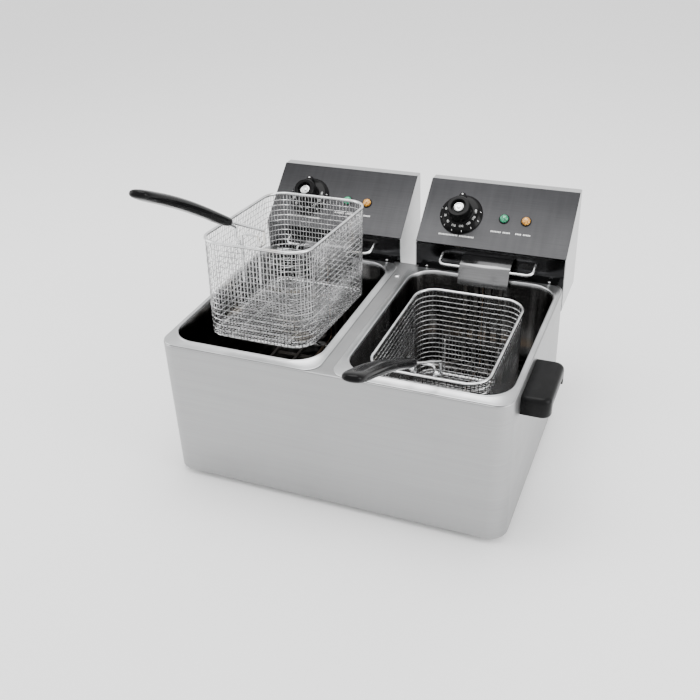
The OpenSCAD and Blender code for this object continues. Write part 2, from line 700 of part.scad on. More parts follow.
module basket_frame(side) color("#d9dbdd") at_basket(side) {
  wire(corners(basket_w, basket_l, 0), rim_d, basket_r, ring = true);
  wire(corners(basket_w - 16, basket_l - 16, floor_wire_z), rim_d, basket_r - 8, ring = true);
  for (x = [-1, 1]) wire([
    [x * hook_x, 8 - basket_l / 2, floor_wire_z], [x * hook_x, upright_y, floor_wire_z],
    [x * hook_x, upright_y, -hook_drop], [x * hook_x, upright_y + hook_l, -hook_drop],
    [x * hook_x, upright_y + hook_l, -hook_drop - 13]
  ], wire_d, hook_bend);
  difference() {
    union() {
      wire([
        [-bracket_x, bracket_y, bracket_low], [-bracket_x, bracket_y, bracket_top],
        [bracket_x, bracket_y, bracket_top], [bracket_x, bracket_y, bracket_low]
      ], wire_d, 5);
      for (x = [-1, 1]) translate([0, bracket_y, pivot_z]) rotate([0, x * 90, 0])
        translate([0, 0, eye_from - 1]) cylinder(h = eye_to - eye_from + 1, d = wire_d + 4);
    }
    for (x = [-1, 1]) translate([0, bracket_y, pivot_z]) rotate([0, x * 90, 0])
      translate([0, 0, eye_from]) cylinder(h = wire_d + 8, d = wire_d + 2 * run_fit);
  }
}

module basket_mesh(side) color("#b4b6b8") at_basket(side) difference() {
  translate([0, 0, mesh_z0]) linear_extrude(mesh_z1 - mesh_z0)
    rounded(basket_w + mesh_t, basket_l + mesh_t, basket_r + mesh_t / 2);
  translate([0, 0, mesh_z0 + mesh_t]) linear_extrude(basket_h)
    rounded(basket_w - mesh_t, basket_l - mesh_t, basket_r - mesh_t / 2);
}

// ---- Basket handle -------------------------------------------------------------------------

module handle_wire(side) color("#c5c7c9") at_basket(side) for (x = [-1, 1]) wire([
  [x * (eye_from + 0.3), bracket_y, pivot_z], [x * prong_gap / 2, bracket_y, pivot_z],
  [x * prong_gap / 2, bracket_y, pivot_z + prong_rise],
  grip_near + [x * prong_half, 0, 0], grip_near + [x * prong_half, 0, 0] + prong_in * grip_dir
], wire_d, prong_bend);

module grip_section(a, w, t, lift)
  translate([0, lift, a]) scale([w / 2, t / 2, t / 4]) sphere(1, $fn = 28);

module handle_grip(side) color("#121213") at_basket(side) difference() {
  translate(grip_near) rotate([90 - grip_slope, 0, 0]) {
    hull() {
      grip_section(grip_t / 4, grip_w * 0.8, grip_t * 0.9, 0);
      grip_section(grip_l * 0.5, grip_w * 0.92, grip_t * 1.05, 4);
    }
    hull() {
      grip_section(grip_l * 0.5, grip_w * 0.92, grip_t * 1.05, 4);
      grip_section(grip_l - grip_t, grip_w, grip_t, 0);
      grip_section(grip_l - grip_t / 4, grip_w * 0.7, grip_t * 0.7, -0.5);
    }
  }
  for (x = [-1, 1]) {
    p = grip_near + [x * prong_half, 0, 0];
    rod(p - 4 * grip_dir, p + prong_in * grip_dir, wire_d);
  }
}

// ---- Nodes ---------------------------------------------------------------------------------

outer_casing();
base_plate();
rubber_feet();
foot_screws();
side_handle();
handle_strap();
handle_screws();
locating_pins();
bridge_screw();
oil_tank(LEFT);  // oil_tank_left
head_casing(LEFT);  // head_casing_left
rear_cover(LEFT);  // rear_cover_left
cover_screws(LEFT);  // cover_screws_left
control_panel(LEFT);  // control_panel_left
splash_wall(LEFT);  // splash_wall_left
heating_element(LEFT);  // heating_element_left
element_guard(LEFT);  // element_guard_left
basket_hanger(LEFT);  // basket_hanger_left
thermostat(LEFT);  // thermostat_left
thermostat_bulb(LEFT);  // thermostat_bulb_left
limit_thermostat(LEFT);  // limit_thermostat_left
terminal_block(LEFT);  // terminal_block_left
lamp_sockets(LEFT);  // lamp_sockets_left
green_lens(LEFT);  // green_lens_left
amber_lens(LEFT);  // amber_lens_left
cord_gland(LEFT);  // cord_gland_left
dial_knob(LEFT);  // dial_knob_left
knob_insert(LEFT);  // knob_insert_left
knob_spindle(LEFT);  // knob_spindle_left
reset_button(LEFT);  // reset_button_left
basket_frame(LEFT);  // basket_frame_left
basket_mesh(LEFT);  // basket_mesh_left
handle_wire(LEFT);  // handle_wire_left
handle_grip(LEFT);  // handle_grip_left
oil_tank(RIGHT);  // oil_tank_right
head_casing(RIGHT);  // head_casing_right
rear_cover(RIGHT);  // rear_cover_right
cover_screws(RIGHT);  // cover_screws_right
control_panel(RIGHT);  // control_panel_right
splash_wall(RIGHT);  // splash_wall_right
heating_element(RIGHT);  // heating_element_right
element_guard(RIGHT);  // element_guard_right
basket_hanger(RIGHT);  // basket_hanger_right
thermostat(RIGHT);  // thermostat_right
thermostat_bulb(RIGHT);  // thermostat_bulb_right
limit_thermostat(RIGHT);  // limit_thermostat_right
terminal_block(RIGHT);  // terminal_block_right
lamp_sockets(RIGHT);  // lamp_sockets_right
green_lens(RIGHT);  // green_lens_right
amber_lens(RIGHT);  // amber_lens_right
cord_gland(RIGHT);  // cord_gland_right
dial_knob(RIGHT);  // dial_knob_right
knob_insert(RIGHT);  // knob_insert_right
knob_spindle(RIGHT);  // knob_spindle_right
reset_button(RIGHT);  // reset_button_right
basket_frame(RIGHT);  // basket_frame_right
basket_mesh(RIGHT);  // basket_mesh_right
handle_wire(RIGHT);  // handle_wire_right
handle_grip(RIGHT);  // handle_grip_right
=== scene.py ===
import json
import math

import bmesh
import bpy
from mathutils import Matrix, Vector


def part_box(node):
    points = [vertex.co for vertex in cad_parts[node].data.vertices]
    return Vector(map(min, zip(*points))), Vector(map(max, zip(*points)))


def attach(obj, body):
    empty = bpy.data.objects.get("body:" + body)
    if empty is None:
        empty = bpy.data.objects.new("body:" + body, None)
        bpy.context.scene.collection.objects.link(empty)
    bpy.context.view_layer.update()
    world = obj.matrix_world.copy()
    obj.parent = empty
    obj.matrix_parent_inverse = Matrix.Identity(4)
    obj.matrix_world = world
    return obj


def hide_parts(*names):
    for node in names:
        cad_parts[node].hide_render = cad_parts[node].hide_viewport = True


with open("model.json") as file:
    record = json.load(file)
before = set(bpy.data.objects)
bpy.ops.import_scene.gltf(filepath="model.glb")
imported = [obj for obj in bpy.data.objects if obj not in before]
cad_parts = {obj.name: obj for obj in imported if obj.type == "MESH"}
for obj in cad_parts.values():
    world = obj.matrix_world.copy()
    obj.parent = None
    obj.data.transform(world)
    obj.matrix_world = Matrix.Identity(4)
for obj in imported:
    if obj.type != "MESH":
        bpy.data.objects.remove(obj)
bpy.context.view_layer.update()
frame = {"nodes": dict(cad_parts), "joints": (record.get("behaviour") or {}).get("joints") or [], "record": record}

MM = 0.001
SIDES = ("left", "right")
JOINTS = {joint["name"]: joint for joint in frame["joints"]}

# ---- Sizes that the looks repeat from the design, in metres ----------------------------------

SHEET = 1.2 * MM             # every pressed sheet
PANEL_T = 1.5 * MM           # a control plate
CASING_CORNER = 28 * MM      # upright corners of the casing
CASING_FOLD = 2.4 * MM       # the fold from its walls to its deck
WELL_GAP = 3 * MM            # between a tank and the hole in the deck
TANK_CORNER = 42 * MM        # upright corners of a tank
TANK_FOOT = 13 * MM          # the bend from its walls to its floor
FLANGE_CORNER = 24 * MM      # corners of a tank's flange, seen from above
FLANGE_SIDE = 7.5 * MM       # flange widths round a tank's mouth
FLANGE_INNER = 12 * MM
FLANGE_FRONT = 18 * MM
FLANGE_REAR = 11 * MM
BEAD = 1.5 * MM              # raised bead round a tank's mouth
HEAD_FOLD = 2.2 * MM         # the folds of a head's sheet
BASKET_W = 178 * MM          # a basket over the middle of its rim wire
BASKET_L = 258 * MM
BASKET_CORNER = 34 * MM
BASKET_FLOOR = -155 * MM     # a basket's woven floor, below its rim
CLOTH_TOP = -2.5 * MM        # where the woven wall meets the rim wire
CLOTH_WIRE = 1.15 * MM       # thickness of the wire that is woven
FLOOR_SHARE = 0.985          # the woven floor's size, as a share of the rim's
HANG_TILT = math.radians(-4.5)
PIVOT = Vector((0, -124.9, 6)) * MM       # the handle's eyes, from the middle of the rim
GRIP_NEAR = Vector((0, -187.9, 59.4)) * MM
GRIP_SLOPE = math.radians(26.5)
LENS_R = 7.4 * MM
NOSE_R = 31 * MM             # the pointer on a dial, from its middle
NOSE_H = 25 * MM
HOOD_CORNER = 14 * MM        # the side handle's corners, seen from above and from the front
HOOD_TOP = 8 * MM
HOOD_WALL = 4.5 * MM
HOOD_SLOT = 76 * MM          # the slot for the fingertips, along its front
SLOT_RISE = 12 * MM
GUARD_BEND = 6 * MM
GUARD_SLOPE = 6.5 * MM       # how far the guard's top falls to its fold
GUARD_FOOT = 13 * MM         # how far its drop runs forwards


# ---- Making finishes -------------------------------------------------------------------------

class Reading:
    """A number that changes over a surface. Arithmetic on it adds Math nodes."""

    def __init__(self, finish, socket):
        self.finish = finish
        self.socket = socket

    def math(self, operation, *values):
        settings = {"operation": operation}
        return self.finish.node("ShaderNodeMath", settings, *values)

    def __add__(self, other):
        return self.math("ADD", self, other)

    def __sub__(self, other):
        return self.math("SUBTRACT", self, other)

    def __rsub__(self, other):
        return self.math("SUBTRACT", other, self)

    def __mul__(self, other):
        return self.math("MULTIPLY", self, other)

    __radd__ = __add__

    def between(self, low, high):
        """0 below low, 1 above high, and smooth in between."""
        settings = {"interpolation_type": "SMOOTHSTEP"}
        return self.finish.node("ShaderNodeMapRange", settings, self, low, high)


class Finish:
    """One material, built up from nodes."""

    def __init__(self, name):
        self.material = bpy.data.materials.new(name)
        self.material.use_nodes = True
        self.tree = self.material.node_tree
        self.shader = self.tree.nodes["Principled BSDF"]
        self.place = self.node("ShaderNodeTexCoord", {}, out="Object")

    def node(self, kind, settings, *values, out=0, **named):
        """Adds a node: its settings first, then its sockets, by order or by name."""
        made = self.tree.nodes.new(kind)
        for key, value in settings.items():
            setattr(made, key, value)
        for key, value in [*enumerate(values), *named.items()]:
            self.feed(made.inputs[key], value)
        return Reading(self, made.outputs[out])

    def feed(self, socket, value):
        if isinstance(value, Reading):
            self.tree.links.new(value.socket, socket)
        elif socket.type == "RGBA" and len(value) == 3:
            socket.default_value = (*value, 1)
        else:
            socket.default_value = value

    def set(self, **sockets):
        """Feeds the shader's own sockets; Base_Color stands for Base Color."""
        for key, value in sockets.items():
            self.feed(self.shader.inputs[key.replace("_", " ")], value)

    def noise(self, scale, detail=3.0, rough=0.55, stretch=(1, 1, 1), turn=(0, 0, 0), shift=(0, 0, 0)):
        """Noise over the surface; stretch sets it apart along each axis."""
        where = self.node("ShaderNodeMapping", {}, Vector=self.place, Scale=stretch, Rotation=turn,
                          Location=shift)
        return self.node("ShaderNodeTexNoise", {}, Vector=where, Scale=scale, Detail=detail, Roughness=rough)

    def axis(self, letter):
        return self.node("ShaderNodeSeparateXYZ", {}, self.place, out=letter)

    def mix(self, share, first, second):
        """A colour between two colours."""
        made = self.tree.nodes.new("ShaderNodeMix")
        made.data_type = "RGBA"
        self.feed(made.inputs["Factor"], share)
        self.feed(made.inputs[6], first)
        self.feed(made.inputs[7], second)
        return Reading(self, made.outputs[2])

    def bump(self, height, strength, distance):
        self.set(Normal=self.node("ShaderNodeBump", {}, Strength=strength, Distance=distance, Height=height))


def brushed(name, dark, light, rough=0.3, grain=(6, 6, 900), depth=0.10, smudge=0.10, shift=(0, 0, 0)):
    """Brushed sheet: fine grain along one way, cloudy smudges and a few dull drops."""
    steel = Finish(name)
    fine = steel.noise(1.0, detail=6, rough=0.65, stretch=grain)
    broad = steel.noise(1.0, detail=2, stretch=tuple(g / 9 for g in grain))
    cloud = steel.noise(7.0, detail=4, rough=0.6, shift=shift)
    drops = steel.noise(38.0, detail=5, rough=0.7, shift=shift)
    marks = drops.between(0.56, 0.72) * cloud.between(0.45, 0.7)
    share = fine * 0.45 + broad * 0.25 + cloud * 0.4 - 0.08
    steel.set(Base_Color=steel.mix(share, dark, light), Metallic=1.0)
    steel.set(Roughness=rough + fine * 0.12 + cloud.between(0.4, 0.75) * smudge + marks * 0.08)
    steel.bump(fine, depth, 0.0004)
    return steel.material


def wire_finish(name, dark, light, rough, wear=0.10):
    """Bright plated wire with drawn lines, dull patches and a trace of old oil."""
    wire = Finish(name)
    patch = wire.noise(45.0, detail=4, rough=0.6)
    fine = wire.noise(900.0, detail=2)
    oil = wire.noise(14.0, detail=3).between(0.58, 0.74)
    tint = wire.mix(patch.between(0.35, 0.7), dark, light)
    wire.set(Base_Color=wire.mix(oil * 0.35, tint, (0.42, 0.34, 0.22)), Metallic=1.0)
    wire.set(Roughness=rough + patch * wear + fine * 0.05)
    wire.bump(fine, 0.08, 0.0002)
    return wire.material


def moulded(name, shade, worn, rough, grain=1400.0, depth=0.12):
    """Moulded plastic: fine leathery grain, rubbed patches and faint scratches."""
    plastic = Finish(name)
    skin = plastic.noise(grain, detail=2)
    rub = plastic.noise(28.0, detail=4, rough=0.62)
    scratch = plastic.noise(1.0, detail=2, stretch=(40, 420, 900), turn=(0.3, 0.5, 0.8)).between(0.68, 0.74)
    plastic.set(Base_Color=plastic.mix(rub.between(0.5, 0.8) * 0.7 + scratch * 0.3, shade, worn))
    plastic.set(Roughness=rough + rub.between(0.42, 0.75) * 0.12 + scratch * 0.1)
    plastic.shader.inputs["Specular IOR Level"].default_value = 0.10
    plastic.bump(skin + scratch * 0.6, depth, 0.0002)
    return plastic.material


def tank_finish(flange_top):
    """Drawn tank: a satin flange, and walls inside painted near-black as shade, with pale upright bands of painted
    reflection.
    """
    tank = Finish("tank_steel")
    height = tank.axis("Z")
    flange = height.between(flange_top - 7 * MM, flange_top - 0.4 * MM)
    drawn = tank.noise(1.0, detail=5, rough=0.6, stretch=(260, 260, 5))
    # painted reflection: noise that changes across the walls but not up them, giving pale upright bands
    painted_reflection_bands = tank.noise(1.0, detail=3, stretch=(42, 42, 1.5))
    cloud = tank.noise(9.0, detail=4, rough=0.6)
    line = height + cloud * 0.012
    tide = line.between(0.128, 0.136) * (1 - line.between(0.14, 0.155))
    # painted shade: the walls inside are coloured near-black, and the pale tone draws the bands of painted
    # reflection
    dull = tank.mix(painted_reflection_bands.between(0.35, 0.7), (0.035, 0.034, 0.033), (0.16, 0.158, 0.155))
    # inside: the painted shade and painted reflection of the walls, with the real oil line over them
    inside = tank.mix(tide * 0.3, dull, (0.12, 0.075, 0.035))
    satin = tank.mix(cloud.between(0.3, 0.7), (0.42, 0.425, 0.43), (0.62, 0.625, 0.63))
    tank.set(Base_Color=tank.mix(flange, inside, satin), Metallic=1.0)
    tank.set(Roughness=0.13 + drawn * 0.07 + flange * 0.14 + cloud.between(0.45, 0.75) * 0.06)
    tank.bump(drawn, 0.06, 0.0003)
    return tank.material


def panel_finish(low, high):
    """The dark control plate: brushed across, with painted shade that darkens it towards its top edge."""
    plate = Finish("panel_steel")
    fine = plate.noise(1.0, detail=6, rough=0.7, stretch=(14, 620, 620))
    upright = plate.noise(1.0, detail=3, stretch=(130, 9, 9))
    cloud = plate.noise(11.0, detail=4, rough=0.6)
    # painted shade: both tones of the plate grow darker from its bottom edge to its top edge
    rise = plate.axis("Z").between(low.z, high.z)
    base = plate.mix(rise, (0.040, 0.040, 0.042), (0.015, 0.015, 0.016))
    bright = plate.mix(rise, (0.088, 0.088, 0.09), (0.042, 0.042, 0.044))
    share = fine * 0.6 + upright * 0.35 + cloud * 0.3 - 0.18
    plate.set(Base_Color=plate.mix(share, base, bright), Metallic=1.0)
    plate.set(Roughness=0.33 + fine * 0.12 + cloud.between(0.4, 0.7) * 0.08)
    plate.bump(fine, 0.14, 0.0004)
    return plate.material


def element_finish():
    """Tube dark with heat, with paler scale in patches."""
    tube = Finish("element_steel")
    scale = tube.noise(120.0, detail=5, rough=0.7)
    heat = tube.noise(16.0, detail=3)
    shade = tube.mix(heat.between(0.35, 0.7), (0.065, 0.058, 0.052), (0.15, 0.143, 0.137))
    tube.set(Base_Color=tube.mix(scale.between(0.55, 0.75), shade, (0.25, 0.242, 0.235)))
    tube.set(Metallic=0.85, Roughness=0.38 + scale * 0.2)
    tube.bump(scale, 0.2, 0.0004)
    return tube.material


def lens_finish(name, deep, glow):
    """Coloured lens with cloudy depths and a little light in it."""
    lens = Finish(name)
    cell = lens.noise(420.0, detail=2)
    lens.set(Base_Color=lens.mix(cell.between(0.35, 0.65), deep, glow), Roughness=0.08 + cell * 0.06)
    lens.set(Emission_Color=lens.mix(cell.between(0.4, 0.7), deep, glow), Coat_Weight=0.6)
    lens.shader.inputs["Emission Strength"].default_value = 0.22
    lens.shader.inputs["Coat Roughness"].default_value = 0.04
    return lens.material


def plain_finish(name, shade, second, rough, metallic=0.0, scale=60.0, depth=0.1):
    """Unpolished ceramic, copper, paint or rubber with a mottled surface."""
    plain = Finish(name)
    mottle = plain.noise(scale, detail=4, rough=0.6)
    grain = plain.noise(scale * 14, detail=2)
    plain.set(Base_Color=plain.mix(mottle.between(0.3, 0.7), shade, second), Metallic=metallic)
    plain.set(Roughness=rough + grain * 0.12)
    plain.bump(grain, depth, 0.0003)
    return plain.material


FLANGE_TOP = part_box("oil_tank_left")[1].z - BEAD
FINISHES = {
    "casing_steel": brushed("casing_steel", (0.25, 0.252, 0.254), (0.46, 0.462, 0.465), rough=0.30),
    "plain_steel": brushed("plain_steel", (0.33, 0.332, 0.335), (0.52, 0.522, 0.526), rough=0.34,
                           grain=(300, 8, 8), depth=0.08),
    "head_steel": brushed("head_steel", (0.42, 0.422, 0.425), (0.64, 0.642, 0.645), rough=0.28,
                          grain=(500, 8, 500), depth=0.07, shift=(0.4, 0, 0)),
    "dark_steel": brushed("dark_steel", (0.018, 0.018, 0.019), (0.075, 0.075, 0.077), rough=0.10,
                          grain=(7, 420, 420), depth=0.04, smudge=0.06),
    "guard_steel": brushed("guard_steel", (0.09, 0.09, 0.092), (0.30, 0.30, 0.303), rough=0.11,
                           grain=(8, 500, 500), depth=0.04, smudge=0.06),
    "panel_steel": panel_finish(*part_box("control_panel_left")),
    "tank_steel": tank_finish(FLANGE_TOP),
    "element_steel": element_finish(),
    "bright_wire": wire_finish("bright_wire", (0.62, 0.625, 0.63), (0.82, 0.825, 0.83), 0.12),
    "woven_wire": wire_finish("woven_wire", (0.40, 0.402, 0.405), (0.70, 0.702, 0.705), 0.16),
    "bright_steel": wire_finish("bright_steel", (0.58, 0.585, 0.59), (0.78, 0.785, 0.79), 0.16),
    "knob_chrome": wire_finish("knob_chrome", (0.66, 0.665, 0.67), (0.86, 0.865, 0.87), 0.10, wear=0.05),
    "black_rubber": plain_finish("black_rubber", (0.016, 0.016, 0.016), (0.03, 0.03, 0.029), 0.72, scale=40),
    "black_plastic": moulded("black_plastic", (0.004, 0.004, 0.0042), (0.012, 0.012, 0.0125), 0.30,
                             grain=1100, depth=0.16),
    "gloss_black": moulded("gloss_black", (0.003, 0.003, 0.0032), (0.009, 0.009, 0.0095), 0.16,
                           grain=240, depth=0.03),
    "red_plastic": moulded("red_plastic", (0.50, 0.025, 0.02), (0.62, 0.06, 0.05), 0.25),
    "green_lens": lens_finish("green_lens", (0.0, 0.09, 0.04), (0.03, 0.42, 0.21)),
    "amber_lens": lens_finish("amber_lens", (0.24, 0.075, 0.0), (0.80, 0.40, 0.05)),
    "cream_ceramic": plain_finish("cream_ceramic", (0.70, 0.66, 0.56), (0.82, 0.78, 0.68), 0.55),
    "copper": plain_finish("copper", (0.26, 0.17, 0.12), (0.38, 0.27, 0.20), 0.28, metallic=1.0, depth=0.04),
    "printed_white": plain_finish("printed_white", (0.74, 0.74, 0.73), (0.86, 0.86, 0.85), 0.5, scale=300),
}


# ---- Modelling helpers -----------------------------------------------------------------------

def only(obj):
    """Selects one object and makes it the active one."""
    bpy.ops.object.select_all(action="DESELECT")
    obj.select_set(True)
    bpy.context.view_layer.objects.active = obj
    return obj


def named(name):
    """Takes the object that an operator has just added."""
    obj = only(bpy.context.active_object)
    obj.name = name
    obj.data.name = name
    return obj


def pick(obj, verts=None, edges=None, faces=None):
    """In edit mode, selects what a test on its place or normal says, and nothing else."""
    mesh = bmesh.from_edit_mesh(obj.data)
    for item in (*mesh.verts, *mesh.edges, *mesh.faces):
        item.select_set(False)
    for items, test in ((mesh.verts, verts), (mesh.edges, edges), (mesh.faces, faces)):
        if test:
            for item in items:
                if test(item):
                    item.select_set(True)
    bmesh.update_edit_mesh(obj.data)


def edit(mode="EDGE"):
    bpy.ops.object.mode_set(mode="EDIT")
    bpy.ops.mesh.select_mode(type=mode)


def leave():
    bpy.ops.object.mode_set(mode="OBJECT")


def box_piece(name, low, high):
    low, high = Vector(low), Vector(high)
    bpy.ops.object.select_all(action="DESELECT")
    bpy.ops.mesh.primitive_cube_add(size=1, location=(low + high) / 2, scale=high - low)
    obj = named(name)
    bpy.ops.object.transform_apply(location=True, rotation=True, scale=True)
    return obj


def is_upright(edge):
    first, second = (v.co for v in edge.verts)
    return abs(first.x - second.x) + abs(first.y - second.y) < 1e-6


def at_height(z):
    return lambda item: all(abs(v.co.z - z) < 1e-5 for v in item.verts)


def rounded_block(name, low, high, radius, segments=10):
    """A block whose four upright edges are rounded."""
    obj = box_piece(name, low, high)
    edit()
    pick(obj, edges=is_upright)
    bpy.ops.mesh.bevel(offset=radius, segments=segments, affect="EDGES")
    leave()
    return obj


def modify(obj, kind, **settings):
    only(obj)
    modifier = obj.modifiers.new(kind.title(), kind)
    for key, value in settings.items():
        setattr(modifier, key, value)
    bpy.ops.object.modifier_apply(modifier=modifier.name)
    return obj


def cut(obj, cutter):
    """Cuts another piece out of this one and throws it away."""
    modify(obj, "BOOLEAN", operation="DIFFERENCE", object=cutter, solver="EXACT")
    bpy.data.objects.remove(cutter)


def softened(obj, width, segments=2, angle=35):
    return modify(obj, "BEVEL", width=width, segments=segments, limit_method="ANGLE",
                  angle_limit=math.radians(angle), harden_normals=False)


def tidy_mesh(obj, outwards=False):
    only(obj)
    edit("VERT")
    bpy.ops.mesh.select_all(action="SELECT")
    bpy.ops.mesh.remove_doubles(threshold=1e-6)
    if outwards:
        bpy.ops.mesh.normals_make_consistent(inside=False)
    leave()
    return obj


def settle(obj, body, slot, *nodes, finish=None, smooth=32):
    """Gives a finished piece its material, its body and the CAD nodes that it stands for."""
    only(obj)
    bpy.ops.object.transform_apply(location=True, rotation=True, scale=True)
    if smooth:
        bpy.ops.object.shade_smooth_by_angle(angle=math.radians(smooth))
    obj.data.materials.clear()
    obj.data.materials.append(FINISHES[finish or slot])
    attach(obj, body)
    if nodes:
        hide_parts(*nodes)
    return obj


def turned(name, profile, sides=64, closed=True):
    """A turned piece about Z: a circle extruded up through (radius, height) pairs."""
    bpy.ops.object.select_all(action="DESELECT")
    first_r, first_z = profile[0]
    bpy.ops.mesh.primitive_circle_add(vertices=sides, radius=first_r, location=(0, 0, first_z),
                                      fill_type="NGON" if closed else "NOTHING")
    obj = named(name)
    bpy.ops.object.transform_apply(location=True, rotation=True, scale=True)
    edit()
    z, radius = first_z, first_r
    pick(obj, edges=lambda e: True)
    for next_r, next_z in profile[1:]:
        bpy.ops.mesh.extrude_edges_move(TRANSFORM_OT_translate={"value": (0, 0, next_z - z)})
        mesh = bmesh.from_edit_mesh(obj.data)
        for v in mesh.verts:
            if v.select:
                v.co.x *= next_r / radius
                v.co.y *= next_r / radius
        bmesh.update_edit_mesh(obj.data)
        z, radius = next_z, next_r
    if closed:
        bpy.ops.mesh.edge_face_add()
    leave()
    return tidy_mesh(obj, outwards=True)


def placed(obj, matrix):
    """Moves a piece made at the origin to its place; the place goes into its mesh."""
    obj.matrix_world = matrix
    only(obj)
    bpy.ops.object.transform_apply(location=True, rotation=True, scale=True)
    return obj


def joined(name, pieces):
    """Makes one object of several, on the first of them."""
    only(pieces[0])
    for piece in pieces:
        piece.select_set(True)
    bpy.ops.object.join()
    pieces[0].name = name
    return pieces[0]


# ---- Casing ----------------------------------------------------------------------------------

def tank_mouth(side):
    """Lowest and highest corner of a tank's inside."""
    low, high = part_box(f"oil_tank_{side}")
    left, right = (FLANGE_SIDE, FLANGE_INNER) if side == "left" else (FLANGE_INNER, FLANGE_SIDE)
    return (Vector((low.x + left, low.y + FLANGE_FRONT, low.z + SHEET)),
            Vector((high.x - right, high.y - FLANGE_REAR, high.z - BEAD)))


def make_casing():
    """A five-sided shell with a hole in its deck for each tank."""
    low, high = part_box("outer_casing")
    shell = rounded_block("casing_shell", low, high, CASING_CORNER, 12)
    edit()
    pick(shell, edges=at_height(high.z))
    bpy.ops.mesh.bevel(offset=CASING_FOLD, segments=4, affect="EDGES")
    bpy.ops.mesh.select_mode(type="FACE")
    pick(shell, faces=at_height(low.z))
    bpy.ops.mesh.delete(type="FACE")
    leave()
    modify(shell, "SOLIDIFY", thickness=SHEET, offset=-1)
    grow = Vector((WELL_GAP, WELL_GAP, 0))
    past_the_deck = Vector((0, 0, 20 * MM))
    for side in SIDES:
        inner_low, inner_high = tank_mouth(side)
        cut(shell, rounded_block(f"well_{side}", inner_low - grow, inner_high + grow + past_the_deck,
                                 TANK_CORNER + WELL_GAP))
    tidy_mesh(shell)
    settle(shell, "casing", "casing_steel", "outer_casing")


# ---- Tanks -----------------------------------------------------------------------------------

def note_turns(pan, low, high):
    """Keeps, on each point, how far round its corner it lies, from 0 at the X side."""
    mesh = bmesh.from_edit_mesh(pan.data)
    turn = mesh.verts.layers.float.new("turn")
    middle = (low + high) / 2
    for v in mesh.verts:
        dx = max(abs(v.co.x - middle.x) - (high.x - low.x) / 2 + TANK_CORNER, 0)
        dy = max(abs(v.co.y - middle.y) - (high.y - low.y) / 2 + TANK_CORNER, 0)
        v[turn] = math.atan2(dy, dx)
    bmesh.update_edit_mesh(pan.data)


def ring_to(pan, low, high, radius, z, middle):
    """Extrudes the selected mouth loop and lays it on a rounded rectangle at height z."""
    bpy.ops.mesh.extrude_edges_move()
    mesh = bmesh.from_edit_mesh(pan.data)
    layer = mesh.verts.layers.float["turn"]
    for v in (v for v in mesh.verts if v.select):
        sx = 1 if v.co.x > middle.x else -1
        sy = 1 if v.co.y > middle.y else -1
        corner = Vector((high.x - radius if sx > 0 else low.x + radius,
                         high.y - radius if sy > 0 else low.y + radius))
        v.co = (corner.x + sx * radius * math.cos(v[layer]), corner.y + sy * radius * math.sin(v[layer]), z)
    bmesh.update_edit_mesh(pan.data)


def make_tank(side):
    """A deep pan; its mouth is drawn up into a bead and out into the flange."""
    name = f"oil_tank_{side}"
    flange_low, flange_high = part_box(name)
    low, high = tank_mouth(side)
    middle = (low + high) / 2
    pan = rounded_block(f"tank_pan_{side}", low, high, TANK_CORNER, 14)
    edit()
    pick(pan, edges=at_height(low.z))
    bpy.ops.mesh.bevel(offset=TANK_FOOT, segments=5, affect="EDGES")
    bpy.ops.mesh.select_mode(type="FACE")
    pick(pan, faces=at_height(high.z))
    bpy.ops.mesh.delete(type="FACE")
    bpy.ops.mesh.select_mode(type="EDGE")
    note_turns(pan, low, high)
    pick(pan, edges=at_height(high.z))
    for grow, rise in [(0.5, 1.0), (1.4, 1.5), (2.6, 1.45), (3.4, 0.9), (4.4, 0.1)]:
        out = Vector((grow, grow, 0)) * MM
        ring_to(pan, low - out, high + out, TANK_CORNER + grow * MM, high.z + rise * MM, middle)
    for grow, drop in [(1.2, 0), (0.4, 0.15), (0.0, 0.6)]:
        inset = Vector((grow, grow, 0)) * MM
        ring_to(pan, flange_low + inset, flange_high - inset, FLANGE_CORNER - grow * MM,
                high.z - drop * MM, middle)
    leave()
    modify(pan, "SOLIDIFY", thickness=SHEET, offset=1)
    settle(pan, f"tank_{side}", "tank_steel", name, smooth=40)


# ---- Heads -----------------------------------------------------------------------------------

def dial_place(side):
    """The matrix of a dial: X across the head, Y up the slope, Z out of the panel."""
    joint = JOINTS[f"dial_turn_{side}"]
    out = -Vector(joint["axis"]).normalized()
    across = Vector((1, 0, 0))
    up = out.cross(across)
    place = Matrix((across, up, out)).transposed().to_4x4()
    place.translation = Vector(joint["pos_m"])
    return place


def make_head_shell(side):
    """Folded sheet, open where the control plate, the splash wall and the rear cover close it."""
    node = f"head_casing_{side}"
    low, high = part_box(node)
    place = dial_place(side)
    slope_out = place.to_3x3() @ Vector((0, 0, 1))
    underside = place @ Vector((0, 0, -PANEL_T))
    shell = box_piece(f"head_shell_{side}", low, high)
    edit("FACE")
    bpy.ops.mesh.select_all(action="SELECT")
    bpy.ops.mesh.bisect(plane_co=underside, plane_no=slope_out, clear_outer=True, use_fill=True)
    pick(shell, faces=lambda f: f.normal.y < -0.3 or f.normal.y > 0.9)
    bpy.ops.mesh.delete(type="FACE")
    bpy.ops.mesh.select_mode(type="EDGE")
    reach = (high.x - low.x) / 2
    middle_x = (low.x + high.x) / 2
    pick(shell, edges=lambda e: not e.is_boundary and all(abs(abs(v.co.x - middle_x) - reach) < 1e-5
                                                         for v in e.verts))
    bpy.ops.mesh.bevel(offset=HEAD_FOLD, segments=3, affect="EDGES")
    top_front = lambda e: e.is_boundary and at_height(high.z)(e) and e.verts[0].co.y < high.y - 1 * MM
    pick(shell, edges=top_front)
    over_the_plate = Vector((0, PANEL_T / slope_out.y, 0))
    bpy.ops.mesh.extrude_edges_move(TRANSFORM_OT_translate={"value": over_the_plate})
    leave()
    modify(shell, "SOLIDIFY", thickness=SHEET, offset=-1)
    settle(shell, f"head_{side}", "head_steel", node)


